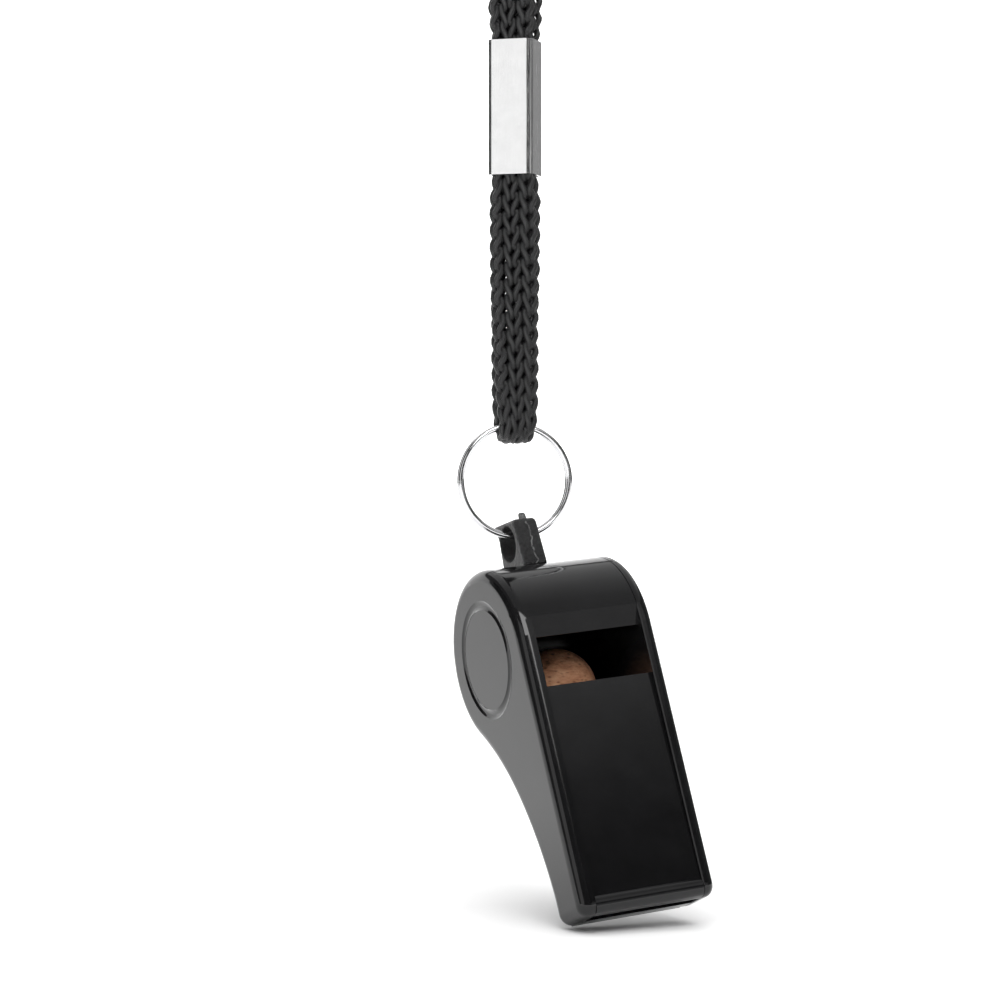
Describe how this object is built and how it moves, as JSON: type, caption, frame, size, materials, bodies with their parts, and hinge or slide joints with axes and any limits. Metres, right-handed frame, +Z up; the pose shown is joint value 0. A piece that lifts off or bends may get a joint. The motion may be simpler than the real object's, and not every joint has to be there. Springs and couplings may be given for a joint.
{
  "type": "training whistle",
  "caption": "Pea whistle with a flat-fronted mouthpiece and a round barrel, hung by its lug from a split ring on a clamped knitted lanyard",
  "frame": {"origin": "The inside of the lanyard's top bend, where a peg, hook or hand holds it. The whole part hangs below.", "axes": "+Z is up, along the hanging lanyard. -Y is towards the side with the whistle's window. The whistle is turned and tilted on its ring as the picture shows it."},
  "size_m": [0.0344, 0.0464, 0.2299],
  "materials": {
    "black_plastic": "glossy black moulded ABS",
    "cork": "raw cork, brown with darker pores",
    "ring_steel": "bright nickel-plated spring wire",
    "clamp_plate": "bright nickel-plated folded sheet",
    "black_cord": "knitted black polyester cord"
  },
  "bodies": {
    "lanyard": {"lanyard_lower_loop": "black_cord", "lanyard_neck_loop": "black_cord", "crimp_sleeve": "clamp_plate"},
    "ring": {"split_ring": "ring_steel"},
    "whistle": {"body_shell": "black_plastic", "cheek_cover": "black_plastic"},
    "pea": {"cork_pea": "cork"}
  },
  "joints": [
    {"name": "ring_swing", "type": "hinge", "parent": "lanyard", "child": "ring", "pos_m": [0, 0, -0.16155], "axis": [0.9781, 0.2079, 0], "range_deg": [-60, 60]},
    {"name": "whistle_swing", "type": "hinge", "parent": "ring", "child": "whistle", "pos_m": [0.00036, 0.00008, -0.17698], "axis": [0.977, 0.2077, 0.0488], "range_deg": [-75, 75]},
    {"name": "pea_orbit", "type": "hinge", "parent": "whistle", "child": "pea", "pos_m": [0.00509, -0.00654, -0.19265], "axis": [0.9045, 0.4153, 0.0971], "continuous": true}
  ]
}
